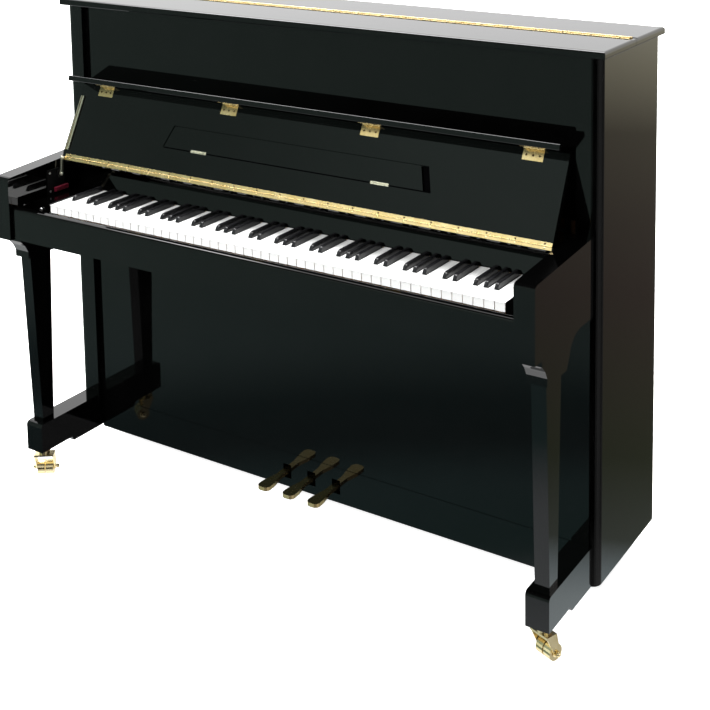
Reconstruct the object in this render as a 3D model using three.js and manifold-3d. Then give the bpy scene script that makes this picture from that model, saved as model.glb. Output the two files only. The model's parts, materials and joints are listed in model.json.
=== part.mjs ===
// An upright piano in millimetres: +X right, +Y towards the back, +Z up, standing on Z = 0.
import * as THREE from "three";
import { mergeVertices } from "three/addons/utils/BufferGeometryUtils.js";
import Module from "manifold-3d";

const wasm = await Module();
wasm.setup();

// ---- Driving dimensions ----
const GAP = 0.3; // left between touching pieces

const LID = { top: 1184, thick: 16, half: 740, front: -35, split: 127, rear: 289.6, edge: 6 };
const SIDE = {
  outer: 727, board: 28, stile: 675, lowerStile: 668, front: -25, rear: 283, bottom: 63, corner: 20,
};
const PANEL = { front: -12, thick: 18, low: 830 };
const RAIL = { top: 142, bottom: 57, half: 667.5 };
const KEYBED = { half: 669.5, bottom: 641, top: 676, rear: 112 };
const ARM = { inner: 670, outer: 714, front: -289.6, bottom: 639, top: 792, topRear: 806 };
const LEG = { inner: 675, outer: 707, bottom: 150.3, top: 578 };
const TOE = { inner: 663, outer: 714.5, front: -228, bottom: 77, top: 150 };
const SLIP = { half: 667, front: -282, top: 719 };

const KEY = {
  count: 88, pitch: 23.6, gap: 1, half: 613.6, front: -213, top: 715, bottom: 695,
  rear: 110, headRear: -162, nameboard: -66, pivot: -8,
};
const SHARP = { width: 11, top: 727, front: -162, clear: 1 };

const HINGE = { y: -118, z: 806, lean: 26.7 }; // fallboard axis and how far the open board leans back
const BOARD = { half: 667, face: 1, thick: 15, length: 186.5 };
const DESK = { low: 65.5, high: 116.5, bottomHalf: 357, topHalf: 340, thick: 7, slack: 3, fingerSlot: 19 };
const LIP = { reach: 57, rear: 11, thick: 13, droop: 8 };

const CLOSER = { y: -127, z: 765, reach: 46, lean: 6, clearOf: -656 }; // soft-close damper, left end

const FRONT_CASTER = { x: 688, y: -199, height: TOE.bottom, turn: { left: 35, right: -20 } };
const REAR_CASTER = { x: 620, y: 215, height: SIDE.bottom, turn: { left: 0, right: 0 } };
const WHEEL = { radius: 17, width: 18, axle: 3, trail: 15 };

const PEDALS = { left: -70, middle: 0, right: 70 };
const PEDAL = { tread: 34, shank: 15, tip: -112, neck: -48, rear: 132, low: 93, high: 102 };

const BACK = { half: 690, front: 190, rear: 283, post: 76, top: 1160 };

// ---- Materials ----
const finish = (color, roughness, metalness = 0) =>
  new THREE.MeshStandardMaterial({ color, roughness, metalness });
const LACQUER = finish(0x0b0c0c, 0.08);
const BRASS = finish(0xd9b45a, 0.25, 1);
const IVORY = finish(0xf4f3ee, 0.3);
const EBONY = finish(0x121212, 0.35);
const SPRUCE = finish(0xd6b27c, 0.6);
const BEECH = finish(0xc19a6b, 0.6);
const IRON = finish(0xb08d3c, 0.4, 0.6);
const FELT = finish(0x7a1020, 0.95);
const STEEL = finish(0x8d8f90, 0.4, 1);

// ---- Solid helpers ----
function toSolid(geometry) {
  const bare = geometry.index ? geometry.toNonIndexed() : geometry.clone();
  bare.deleteAttribute("normal");
  bare.deleteAttribute("uv");
  const merged = mergeVertices(bare, 1e-4);
  return new wasm.Manifold(new wasm.Mesh({
    numProp: 3,
    vertProperties: merged.attributes.position.array,
    triVerts: new Uint32Array(merged.index.array),
  }));
}

function toGeometry(solid) {
  const mesh = solid.getMesh();
  return new THREE.BufferGeometry()
    .setAttribute("position", new THREE.BufferAttribute(mesh.vertProperties, 3))
    .setIndex(new THREE.BufferAttribute(mesh.triVerts, 1));
}

const join = (...pieces) => toGeometry(pieces.map(toSolid).reduce((a, b) => a.add(b)));

const cut = (piece, ...holes) =>
  toGeometry(holes.map(toSolid).reduce((a, b) => a.subtract(b), toSolid(piece)));

const common = (a, b) => toGeometry(toSolid(a).intersect(toSolid(b)));

function box(x0, x1, y0, y1, z0, z1) {
  return new THREE.BoxGeometry(x1 - x0, y1 - y0, z1 - z0)
    .translate((x0 + x1) / 2, (y0 + y1) / 2, (z0 + z1) / 2);
}

// A box centred on an X position.
const slab = (x, width, y0, y1, z0, z1) => box(x - width / 2, x + width / 2, y0, y1, z0, z1);

// Points [a, b] or [a, b, radius]: a corner with a radius becomes a tangent arc.
function outline(points, steps = 4) {
  const shape = [];
  points.forEach(([a, b, radius = 0], i) => {
    const here = new THREE.Vector2(a, b);
    if (!radius) {
      shape.push(here);
      return;
    }
    const before = new THREE.Vector2(...points.at(i - 1).slice(0, 2)).sub(here).normalize();
    const after = new THREE.Vector2(...points[(i + 1) % points.length].slice(0, 2)).sub(here).normalize();
    const half = Math.acos(before.dot(after)) / 2;
    const middle = before.clone().add(after).normalize().multiplyScalar(radius / Math.sin(half)).add(here);
    const start = before.multiplyScalar(radius / Math.tan(half)).add(here).sub(middle);
    const end = after.multiplyScalar(radius / Math.tan(half)).add(here).sub(middle);
    const turn = Math.atan2(start.cross(end), start.dot(end));
    for (let k = 0; k <= steps; k++) {
      const origin = new THREE.Vector2();
      shape.push(start.clone().rotateAround(origin, (turn * k) / steps).add(middle));
    }
  });
  return new THREE.Shape(shape);
}

function prism(points, low, high, basis, steps) {
  return new THREE.ExtrudeGeometry(outline(points, steps), { depth: high - low, bevelEnabled: false })
    .translate(0, 0, low)
    .applyMatrix4(basis);
}

const UNIT_X = new THREE.Vector3(1, 0, 0);
const UNIT_Y = new THREE.Vector3(0, 1, 0);
const UNIT_Z = new THREE.Vector3(0, 0, 1);
const ALONG_X = new THREE.Matrix4().makeBasis(UNIT_Y, UNIT_Z, UNIT_X);
const ALONG_Y = new THREE.Matrix4().makeBasis(UNIT_Z, UNIT_X, UNIT_Y);
const ALONG_Z = new THREE.Matrix4();

const alongX = (points, low, high, steps) => prism(points, low, high, ALONG_X, steps); // (y, z)
const alongY = (points, low, high, steps) =>
  prism(points.map(([x, z, radius]) => [z, x, radius]), low, high, ALONG_Y, steps); // (x, z)
const alongZ = (points, low, high, steps) => prism(points, low, high, ALONG_Z, steps); // (x, y)

function rod(from, to, radius, sides = 16) {
  const start = new THREE.Vector3(...from);
  const span = new THREE.Vector3(...to).sub(start);
  const turn = new THREE.Quaternion().setFromUnitVectors(UNIT_Y, span.clone().normalize());
  return new THREE.CylinderGeometry(radius, radius, span.length(), sides)
    .applyQuaternion(turn)
    .translate(...start.addScaledVector(span, 0.5).toArray());
}

const mirrored = (points, side) => points.map(([x, y, radius]) => [side * x, y, radius]);
const spanX = (side, inner, outer) => (side < 0 ? [-outer, -inner] : [inner, outer]);

// ---- The scene graph ----
const piano = new THREE.Group();

function add(name, geometry, material, parent = piano) {
  const mesh = new THREE.Mesh(geometry, material);
  mesh.name = name;
  parent.add(mesh);
  return mesh;
}

const SIDES = [["left", -1], ["right", 1]];

// ---- Case ----
function addSidePanel(name, side) {
  const top = LID.top - LID.thick - GAP;
  const inner = SIDE.outer - SIDE.board;
  const stileRear = PANEL.front + PANEL.thick + 2;
  const plan = [
    [SIDE.stile, SIDE.front], [SIDE.outer, SIDE.front, SIDE.corner], [SIDE.outer, SIDE.rear],
    [inner, SIDE.rear], [inner, stileRear], [SIDE.stile, stileRear],
  ];
  const lower = [
    [SIDE.lowerStile, SIDE.front], [SIDE.stile + 1, SIDE.front],
    [SIDE.stile + 1, stileRear], [SIDE.lowerStile, stileRear],
  ];
  add(name, join(
    alongZ(mirrored(plan, side), SIDE.bottom, top, 8),
    alongZ(mirrored(lower, side), SIDE.bottom, ARM.bottom),
  ), LACQUER);
}

function addArm(name, side) {
  const rear = SIDE.front - GAP;
  const profile = [
    [ARM.front, ARM.bottom], [ARM.front, ARM.top, 10], [-278, ARM.top], [rear, ARM.topRear],
    [rear, 641.5], [-90, 641.5, 12], [-112, 636, 20], [-133.6, 618, 20], [-136, 605, 12],
    [-151, LEG.top + GAP], [-237, LEG.top + GAP], [-237, 595], [-246, 612, 22], [-259, 626],
    [-259, ARM.bottom],
  ];
  add(name, alongX(profile, ...spanX(side, ARM.inner, ARM.outer), 3), LACQUER);
}

function addLeg(name, side) {
  const profile = [[-210, LEG.bottom], [-227, LEG.top], [-161, LEG.top], [-175, LEG.bottom]];
  add(name, alongX(profile, ...spanX(side, LEG.inner, LEG.outer)), LACQUER);
}

function addToeBlock(name, side) {
  const rear = SIDE.front - GAP;
  const profile = [
    [TOE.front, TOE.bottom], [TOE.front, TOE.top, 9], [rear, TOE.top],
    [rear, 66], [-122, 66], [-128, TOE.bottom],
  ];
  add(name, alongX(profile, ...spanX(side, TOE.inner, TOE.outer), 3), LACQUER);
}

function addKeyBlock(name, side) {
  const [low, high] = spanX(side, KEY.half + 1.4, KEYBED.half);
  add(name, box(low, high, KEY.front, -46, KEYBED.top + GAP, KEY.top + 2), LACQUER);
}

for (const [word, side] of SIDES) {
  addSidePanel(`side_panel_${word}`, side);
  addArm(`arm_${word}`, side);
  addLeg(`leg_${word}`, side);
  addToeBlock(`toe_block_${word}`, side);
  addKeyBlock(`key_block_${word}`, side);
}

add("keybed", box(
  -KEYBED.half, KEYBED.half, SLIP.front + 18, KEYBED.rear, KEYBED.bottom, KEYBED.top,
), LACQUER);

const slipBack = SLIP.front + 18 - GAP;
add("key_slip", alongX([
  [SLIP.front, KEYBED.bottom], [SLIP.front, SLIP.top - 3, 7], [-268, SLIP.top, 6], [-220, 691],
  [-220, KEYBED.top + GAP], [slipBack, KEYBED.top + GAP], [slipBack, KEYBED.bottom],
], -SLIP.half, SLIP.half), LACQUER);

// The nameboard's face leans back like the open fallboard; a thinner board rises behind its rounded top.
const HINGE_RAIL = { low: 790, high: 797, rear: PANEL.front - 1 };
const NAMEBOARD = { front: -64, rear: -51, low: 718.5, ledge: 764, step: 8 };
const lowToLedge = (NAMEBOARD.ledge - NAMEBOARD.low) * Math.tan(THREE.MathUtils.degToRad(HINGE.lean));
const ledgeFront = NAMEBOARD.front + lowToLedge;
const riserFront = ledgeFront + NAMEBOARD.step;
add("nameboard", alongX([
  [NAMEBOARD.front, NAMEBOARD.low], [ledgeFront, NAMEBOARD.ledge, 2.5], [riserFront, NAMEBOARD.ledge],
  [riserFront, HINGE_RAIL.low - GAP], [riserFront + 9, HINGE_RAIL.low - GAP],
  [riserFront + 9, NAMEBOARD.ledge - 6], [NAMEBOARD.rear, NAMEBOARD.low],
], -KEYBED.half, KEYBED.half), LACQUER);

add("hinge_rail", alongX([
  [-117.6, 804.7], [-120.7, 798.4], [-116, 794, 2], [-100, HINGE_RAIL.low],
  [HINGE_RAIL.rear, HINGE_RAIL.low], [HINGE_RAIL.rear, HINGE_RAIL.high], [-102.4, HINGE_RAIL.high],
], CLOSER.clearOf, KEYBED.half), LACQUER);

const upperHalf = SIDE.stile - 0.5;
const panelBack = PANEL.front + PANEL.thick;
add("upper_panel", box(
  -upperHalf, upperHalf, PANEL.front, panelBack, PANEL.low, LID.top - LID.thick - GAP,
), LACQUER);
add("lower_panel", box(
  -RAIL.half, RAIL.half, PANEL.front, panelBack, RAIL.top + GAP, KEYBED.bottom - GAP,
), LACQUER);

const pedalSlots = Object.values(PEDALS).map((x) => slab(x, PEDAL.shank + 8, -40, 20, 78, 112));
add("bottom_rail", cut(
  box(-RAIL.half, RAIL.half, PANEL.front - 1, panelBack, RAIL.bottom, RAIL.top), ...pedalSlots,
), LACQUER);
add("bottom_board", box(
  GAP - 699, 699 - GAP, panelBack + 2.5, SIDE.rear, SIDE.bottom, SIDE.bottom + 20,
), LACQUER);

// ---- Lid ----
const lidUnder = LID.top - LID.thick;
const LEAF = { width: 12, sunk: 1, proud: 1.2, barrel: 1.6 }; // each leaf lies in a shallow rebate
const leafTop = LID.top + LEAF.proud;
const rebate = LID.top - LEAF.sunk;
const lidEnds = alongY([
  [-LID.half, LID.top, LID.edge], [LID.half, LID.top, LID.edge],
  [LID.half, lidUnder, LID.edge / 2], [-LID.half, lidUnder, LID.edge / 2],
], LID.front - 1, LID.rear + 1);
const lidBoard = (profile) => common(alongX(profile, -LID.half, LID.half), lidEnds);
add("lid_rear", lidBoard([
  [LID.split + 0.5, lidUnder], [LID.split + 0.5, rebate], [LID.split + LEAF.width + GAP, rebate],
  [LID.split + LEAF.width + GAP, LID.top], [LID.rear, LID.top, LID.edge], [LID.rear, lidUnder, LID.edge / 2],
]), LACQUER);
add("lid_hinge_rear", alongX([
  [LID.split, rebate + GAP], [LID.split + LEAF.width, rebate + GAP], [LID.split + LEAF.width, leafTop],
  [LID.split, leafTop + LEAF.barrel],
], -SIDE.outer, SIDE.outer), BRASS);
add("lid_front", lidBoard([
  [LID.front, lidUnder, LID.edge / 2], [LID.front, LID.top, LID.edge],
  [LID.split - LEAF.width - GAP, LID.top], [LID.split - LEAF.width - GAP, rebate],
  [LID.split - 0.5, rebate], [LID.split - 0.5, lidUnder],
]), LACQUER);
add("lid_hinge_front", alongX([
  [LID.split - GAP, rebate + GAP], [LID.split - GAP, leafTop + LEAF.barrel],
  [LID.split - LEAF.width, leafTop], [LID.split - LEAF.width, rebate + GAP],
], -SIDE.outer, SIDE.outer), BRASS);

// ---- Fallboard, built upright on its hinge axis and then leant back ----
const fallboard = new THREE.Group();
fallboard.position.set(0, HINGE.y, HINGE.z);
fallboard.rotation.x = -THREE.MathUtils.degToRad(HINGE.lean);
piano.add(fallboard);

const boardBack = BOARD.face + BOARD.thick;
const deskRecess = alongY([
  [-DESK.bottomHalf - DESK.slack, DESK.low - 0.5], [DESK.bottomHalf + DESK.fingerSlot, DESK.low - 0.5],
  [DESK.topHalf + DESK.fingerSlot, DESK.high + 1.5], [-DESK.topHalf - DESK.slack, DESK.high + 1.5],
], BOARD.face - 2, BOARD.face + DESK.thick + 1);
const leafRebate = box(-BOARD.half, BOARD.half, 0, BOARD.face + 1.5, 0, 8);
add("fallboard", cut(
  box(-BOARD.half, BOARD.half, BOARD.face, boardBack, 1.2, BOARD.length), deskRecess, leafRebate,
), LACQUER, fallboard);
add("fallboard_hinge_upper", box(
  CLOSER.clearOf, BOARD.half, 0.9, 2.2, 0.3, 7.7,
), BRASS, fallboard);
add("fallboard_hinge_lower", join(
  box(CLOSER.clearOf, BOARD.half, -0.9, 0.6, -7, -0.3),
  rod([CLOSER.clearOf, -0.9, -1.9], [BOARD.half, -0.9, -1.9], 1.6, 8),
), BRASS, fallboard);
add("music_desk", alongY([
  [-DESK.bottomHalf, DESK.low], [DESK.bottomHalf, DESK.low],
  [DESK.topHalf, DESK.high], [-DESK.topHalf, DESK.high],
], BOARD.face, BOARD.face + DESK.thick), LACQUER, fallboard);
add("closer_track", box(-660, -650, -1.6, BOARD.face - GAP, 18, 156), STEEL, fallboard);

const lip = new THREE.Group();
lip.position.set(0, BOARD.face, BOARD.length + 0.8);
lip.rotation.x = THREE.MathUtils.degToRad(LIP.droop);
fallboard.add(lip);
add("fallboard_lip", alongX([
  [-LIP.reach, GAP, 2], [0, GAP], [LIP.rear, 2], [LIP.rear, LIP.thick, 2], [-LIP.reach, LIP.thick, 2],
], -BOARD.half, BOARD.half), LACQUER, lip);

// ---- Soft-close damper at the left arm ----
add("closer_body", join(
  box(-669.7, -666.6, -168, -113, 718, 780),
  rod([-667, CLOSER.y, CLOSER.z], [-663.6, CLOSER.y, CLOSER.z], 11),
), EBONY);
const closer = new THREE.Group();
closer.position.set(0, CLOSER.y, CLOSER.z);
closer.rotation.x = -THREE.MathUtils.degToRad(CLOSER.lean);
piano.add(closer);
add("closer_link", join(
  rod([-663.3, 0, 0], [-659.3, 0, 0], 7), box(-663.3, -659.3, -4, 4, 0, CLOSER.reach - 7),
), BRASS, closer);

// ---- Keys ----
const SHARP_STEPS = [1, 3, 6, 8, 10]; // semitones above C that are sharps
const isSharp = (key) => SHARP_STEPS.includes((key + 9) % 12); // key 0 is A
const naturalBefore = (key) => {
  let count = 0;
  for (let k = 0; k < key; k++) if (!isSharp(k)) count++;
  return count;
};
const leftEdge = (key) => -KEY.half + KEY.pitch * naturalBefore(key);

const STICK = { low: 690, sharpLow: 701.5, high: 712, railFront: 60, railRear: 98 };

function naturalKey(key) {
  const left = leftEdge(key) + KEY.gap / 2;
  const right = leftEdge(key) + KEY.pitch - KEY.gap / 2;
  const notch = SHARP.width / 2 + SHARP.clear;
  const bodyLeft = key > 0 && isSharp(key - 1) ? leftEdge(key) + notch : left;
  const bodyRight = key < KEY.count - 1 && isSharp(key + 1) ? leftEdge(key) + KEY.pitch - notch : right;
  return join(
    box(left, right, KEY.front, KEY.headRear, KEY.bottom, KEY.top),
    box(bodyLeft, bodyRight, KEY.headRear - 1, KEY.rear, KEY.bottom, KEY.top),
  );
}

function sharpKey(key) {
  const middle = leftEdge(key);
  const low = middle - SHARP.width / 2;
  const high = middle + SHARP.width / 2;
  return alongX([
    [SHARP.front + 1, STICK.sharpLow], [SHARP.front + 1, KEY.top - 2], [SHARP.front + 8, SHARP.top, 2],
    [KEY.nameboard, SHARP.top], [KEY.nameboard, STICK.high], [KEY.rear, STICK.high],
    [KEY.rear, STICK.sharpLow],
  ], low, high, 1);
}

// Keys of one kind share a rail behind the nameboard; naturals are tied below, sharps above.
function keyBank(first, last, sharps) {
  const keys = [];
  for (let k = first; k <= last; k++) if (isSharp(k) === sharps) keys.push(k);
  const from = leftEdge(keys[0]) - (sharps ? SHARP.width / 2 : 0) + 2;
  const to = leftEdge(keys.at(-1)) + (sharps ? SHARP.width / 2 : KEY.pitch) - 2;
  const rail = sharps
    ? [box(from, to, STICK.railFront, STICK.railRear, 722, 727),
      ...keys.map((k) => slab(leftEdge(k), SHARP.width - 2, 66, 92, STICK.high - 1, 723))]
    : [box(from, to, STICK.railFront, STICK.railRear, STICK.low, KEY.bottom + 0.5)];
  return join(...keys.map(sharps ? sharpKey : naturalKey), ...rail);
}

const MIDDLE_C = 39;
const SINGLE_KEYS = [["key_c4", 0], ["key_cs4", 1], ["key_d4", 2], ["key_ds4", 3], ["key_e4", 4]];
for (const [name, step] of SINGLE_KEYS) {
  const key = MIDDLE_C + step;
  if (isSharp(key)) add(name, sharpKey(key), EBONY);
  else add(name, naturalKey(key), IVORY);
}
const lastSingle = MIDDLE_C + SINGLE_KEYS.length;
add("natural_keys_bass", keyBank(0, MIDDLE_C - 1, false), IVORY);
add("natural_keys_treble", keyBank(lastSingle, KEY.count - 1, false), IVORY);
add("sharp_keys_bass", keyBank(0, MIDDLE_C - 1, true), EBONY);
add("sharp_keys_treble", keyBank(lastSingle, KEY.count - 1, true), EBONY);

// Front rail, balance rail and back rail under the keys.
const onKeybed = KEYBED.top + GAP;
add("key_frame", join(
  box(-KEY.half, KEY.half, -205, -165, onKeybed, 684),
  box(-KEY.half, KEY.half, KEY.pivot - 14, KEY.pivot + 14, onKeybed, 688),
  box(-KEY.half, KEY.half, 60, 98, onKeybed, 685),
  ...[-592, 0, 592].map((x) => slab(x, 40, -204, 97, onKeybed, 681)),
), BEECH);

// ---- Pedals: a shank that widens into a rounded tread ----
const halfTread = PEDAL.tread / 2;
const halfShank = PEDAL.shank / 2;
const pedalOutline = (x) => [
  [x - halfTread, PEDAL.tip, 12], [x + halfTread, PEDAL.tip, 12], [x + halfTread - 2, PEDAL.tip + 30, 14],
  [x + halfShank, PEDAL.neck, 20], [x + halfShank, PEDAL.rear], [x - halfShank, PEDAL.rear],
  [x - halfShank, PEDAL.neck, 20], [x - halfTread + 2, PEDAL.tip + 30, 14],
];
for (const [word, x] of Object.entries(PEDALS)) {
  add(`pedal_${word}`, alongZ(pedalOutline(x), PEDAL.low, PEDAL.high, 6), BRASS);
}

// ---- Action ----
add("action_frame", join(
  ...[-1, 1].map((side) => slab(side * 637, 14, 20, 104, onKeybed, 960)),
  box(-640, 640, 70, 92, 770, 800),
  box(-640, 640, 84, 96, 925, 945),
), STEEL);
const HAMMER_PIVOT = { y: 50, z: 800 };
add("hammer_rail", join(
  box(-620, 620, HAMMER_PIVOT.y - 8, HAMMER_PIVOT.y + 8, 900, 922),
  ...[-1, 1].map((side) => slab(side * 614, 12, HAMMER_PIVOT.y - 8, HAMMER_PIVOT.y + 8, 790, 905)),
), BEECH);
add("muffler_rail", join(
  box(-620, 620, 112, 116, 960, 1006),
  box(-620, 620, 104, 113, 1000, 1008),
), FELT);
add("sustain_rod", rod([PEDALS.right, 121, PEDAL.high + 1], [PEDALS.right, 121, 760], 4), BEECH);

// ---- Sounding parts and back ----
add("iron_plate", cut(
  box(-655, 655, 128, 142, 140, 1120),
  ...[-492, -164, 164, 492].map((x) => slab(x, 290, 120, 150, 420, 980)),
), IRON);
add("pin_block", box(-655, 655, 142 + GAP, 189, 1000, 1160), BEECH);

const ribs = [];
for (let i = -3; i <= 3; i++) {
  const middle = i * 170;
  const reach = Math.min(330, 620 - Math.abs(middle));
  const rib = slab(0, 22, 167, 186, -reach, reach);
  ribs.push(rib.rotateY(THREE.MathUtils.degToRad(38)).translate(middle, 0, 545));
}
add("soundboard", join(box(-650, 650, 158, 168, 120, 990), ...ribs), SPRUCE);

const postBottom = SIDE.bottom + 20 + GAP;
const postXs = [-652, -326, 0, 326, 652];
add("back_frame", join(
  ...postXs.map((x) => slab(x, BACK.post, BACK.front, BACK.rear, postBottom, BACK.top)),
  box(-BACK.half, BACK.half, BACK.front, BACK.rear, 1010, BACK.top),
  box(-BACK.half, BACK.half, BACK.front, BACK.rear, postBottom, 175),
), SPRUCE);

// ---- Casters: a swivelling fork and a twin wheel on its axle ----
function addCaster(name, spec, side, turn) {
  const caster = new THREE.Group();
  caster.position.set(side * spec.x, spec.y, 0);
  caster.rotation.z = THREE.MathUtils.degToRad(turn);
  piano.add(caster);

  const bridge = spec.height - 22;
  const inside = WHEEL.width + 3.2;
  const cheek = (sign) => alongX([
    [-13, bridge + 4], [14, bridge + 4], [WHEEL.trail + 8, WHEEL.radius, 8],
    [WHEEL.trail, 7, 6], [WHEEL.trail - 8, WHEEL.radius, 6],
  ], ...spanX(sign, inside, inside + 3));
  const centre = [WHEEL.trail, WHEEL.radius];
  const axleHole = rod([-40, ...centre], [40, ...centre], WHEEL.axle + 0.6, 12);
  add(`${name}_fork`, cut(join(
    rod([0, 0, bridge + 3], [0, 0, spec.height - GAP], 13, 20),
    box(-inside - 3, inside + 3, -13, 14, bridge, bridge + 4.5),
    cheek(-1), cheek(1),
  ), axleHole), BRASS, caster);

  add(`${name}_wheel`, join(
    rod([-WHEEL.width - 1.5, ...centre], [-1.5, ...centre], WHEEL.radius, 24),
    rod([1.5, ...centre], [WHEEL.width + 1.5, ...centre], WHEEL.radius, 24),
    rod([-30, ...centre], [30, ...centre], WHEEL.axle, 12),
    rod([-2, ...centre], [2, ...centre], 9, 12),
  ), BRASS, caster);
}

for (const [word, side] of SIDES) {
  addCaster(`caster_front_${word}`, FRONT_CASTER, side, FRONT_CASTER.turn[word]);
  addCaster(`caster_rear_${word}`, REAR_CASTER, side, REAR_CASTER.turn[word]);
}

export default piano;
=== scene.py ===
"""An upright piano in black lacquer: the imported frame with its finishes, keys, hinges and fittings."""
import json
from math import cos, pi, radians, sin

import bmesh
import bpy
from mathutils import Matrix, Vector

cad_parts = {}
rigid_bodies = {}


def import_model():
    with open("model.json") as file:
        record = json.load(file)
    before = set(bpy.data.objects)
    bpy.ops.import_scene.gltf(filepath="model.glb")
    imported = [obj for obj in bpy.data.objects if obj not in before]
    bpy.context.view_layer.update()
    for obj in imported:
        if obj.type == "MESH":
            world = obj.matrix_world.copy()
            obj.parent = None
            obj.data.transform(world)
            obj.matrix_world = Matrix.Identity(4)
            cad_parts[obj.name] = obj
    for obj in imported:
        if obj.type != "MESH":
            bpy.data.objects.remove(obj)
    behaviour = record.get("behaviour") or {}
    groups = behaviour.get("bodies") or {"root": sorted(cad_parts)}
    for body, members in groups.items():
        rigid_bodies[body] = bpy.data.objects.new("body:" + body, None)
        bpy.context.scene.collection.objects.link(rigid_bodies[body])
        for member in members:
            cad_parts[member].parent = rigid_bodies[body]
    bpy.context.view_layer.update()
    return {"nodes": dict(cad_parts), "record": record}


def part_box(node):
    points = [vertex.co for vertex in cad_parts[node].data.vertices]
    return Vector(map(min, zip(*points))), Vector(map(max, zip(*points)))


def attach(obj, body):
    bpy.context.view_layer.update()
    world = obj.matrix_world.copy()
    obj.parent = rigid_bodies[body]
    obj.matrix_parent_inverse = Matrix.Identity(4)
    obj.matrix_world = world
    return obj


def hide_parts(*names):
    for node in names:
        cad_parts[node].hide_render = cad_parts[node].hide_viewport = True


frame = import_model()
scene = bpy.context.scene
scene.view_settings.view_transform = "Standard"

MM = 0.001
SIDES = (("left", -1), ("right", 1))


# ---- Camera: in front of the piano, to its right and above its lid ----
def make_camera():
    yaw, pitch, roll = radians(32.11), radians(6.93), radians(-0.71)
    level_right = Vector((cos(yaw), sin(yaw), 0))
    level_ahead = Vector((-sin(yaw), cos(yaw), 0))
    up = Vector((0, 0, 1))
    ahead = level_ahead * cos(pitch) - up * sin(pitch)
    raised = level_ahead * sin(pitch) + up * cos(pitch)
    right = level_right * cos(roll) + raised * sin(roll)
    above = raised * cos(roll) - level_right * sin(roll)
    data = bpy.data.cameras.new("camera")
    data.sensor_width = 36
    data.lens = 66.9
    data.shift_x = -0.0545
    data.shift_y = -0.5613
    camera = bpy.data.objects.new("camera", data)
    turn = Matrix((right, above, -ahead)).transposed().to_4x4()
    camera.matrix_world = Matrix.Translation((1.7303, -2.3788, 1.6813)) @ turn
    scene.collection.objects.link(camera)
    scene.camera = camera


# ---- Node helpers ----
def even(level):
    """A neutral grey."""
    return level, level, level


def add_node(tree, kind, **settings):
    node = tree.nodes.new(kind)
    for key, value in settings.items():
        setattr(node, key, value)
    return node


def new_material(name, **sockets):
    """A material with values for its shader's sockets, such as sheen_weight for Sheen Weight."""
    material = bpy.data.materials.new(name)
    material.use_nodes = True
    shader = material.node_tree.nodes["Principled BSDF"]
    for key, value in sockets.items():
        shader.inputs[key.replace("_", " ").title().replace("Ior", "IOR")].default_value = value
    return material, material.node_tree, shader


def noise(tree, scale, detail=2.0, stretch=(1, 1, 1)):
    """A noise factor in object space, stretched along the axes."""
    place = add_node(tree, "ShaderNodeTexCoord")
    mapping = add_node(tree, "ShaderNodeMapping")
    mapping.inputs["Scale"].default_value = stretch
    texture = add_node(tree, "ShaderNodeTexNoise")
    texture.inputs["Scale"].default_value = scale
    texture.inputs["Detail"].default_value = detail
    tree.links.new(place.outputs["Object"], mapping.inputs["Vector"])
    tree.links.new(mapping.outputs["Vector"], texture.inputs["Vector"])
    return texture.outputs["Fac"]


def ramp(tree, factor, stops):
    """Colours over a factor; each stop is (position, (r, g, b))."""
    node = add_node(tree, "ShaderNodeValToRGB")
    elements = node.color_ramp.elements
    while len(elements) < len(stops):
        elements.new(0.5)
    for element, (position, colour) in zip(elements, stops):
        element.position = position
        element.color = (*colour, 1)
    tree.links.new(factor, node.inputs["Fac"])
    return node.outputs["Color"]


def between(tree, factor, low, high):
    node = add_node(tree, "ShaderNodeMapRange")
    node.inputs["To Min"].default_value = low
    node.inputs["To Max"].default_value = high
    tree.links.new(factor, node.inputs["Value"])
    return node.outputs["Result"]


def bump(tree, shader, height, distance, strength=1.0):
    node = add_node(tree, "ShaderNodeBump")
    node.inputs["Distance"].default_value = distance
    node.inputs["Strength"].default_value = strength
    tree.links.new(height, node.inputs["Height"])
    tree.links.new(node.outputs["Normal"], shader.inputs["Normal"])


# ---- Finishes ----
def lacquer():
    material, tree, shader = new_material("lacquer", ior=1.5)
    colour = ramp(tree, noise(tree, 9), [(0.3, even(0.0003)), (0.7, even(0.0006))])
    tree.links.new(colour, shader.inputs["Base Color"])
    tree.links.new(between(tree, noise(tree, 40, 4), 0.015, 0.05), shader.inputs["Roughness"])
    bump(tree, shader, noise(tree, 22, 1), 0.00003)
    return material


def metal(name, low, high, rough, grain=60, stretch=(1, 1, 1)):
    material, tree, shader = new_material(name, metallic=1.0)
    colour = ramp(tree, noise(tree, 35, 3), [(0.25, low), (0.75, high)])
    tree.links.new(colour, shader.inputs["Base Color"])
    rubbed = noise(tree, grain, 5, stretch)
    tree.links.new(between(tree, rubbed, rough * 0.85, rough * 1.2), shader.inputs["Roughness"])
    bump(tree, shader, rubbed, 0.000004)
    return material


def plastic(name, low, high, rough, **sockets):
    material, tree, shader = new_material(name, **sockets)
    colour = ramp(tree, noise(tree, 30, 3), [(0.3, low), (0.7, high)])
    tree.links.new(colour, shader.inputs["Base Color"])
    tree.links.new(between(tree, noise(tree, 120, 4), rough * 0.8, rough * 1.3), shader.inputs["Roughness"])
    return material


def timber(name, dark, light, grain_axis):
    stretch = [14, 14, 14]
    stretch[grain_axis] = 0.6
    material, tree, shader = new_material(name)
    grain = noise(tree, 6, 6, stretch)
    colour = ramp(tree, grain, [(0.3, dark), (0.55, light), (0.75, dark)])
    tree.links.new(colour, shader.inputs["Base Color"])
    tree.links.new(between(tree, grain, 0.42, 0.6), shader.inputs["Roughness"])
    bump(tree, shader, grain, 0.0004, 0.5)
    return material


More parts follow.
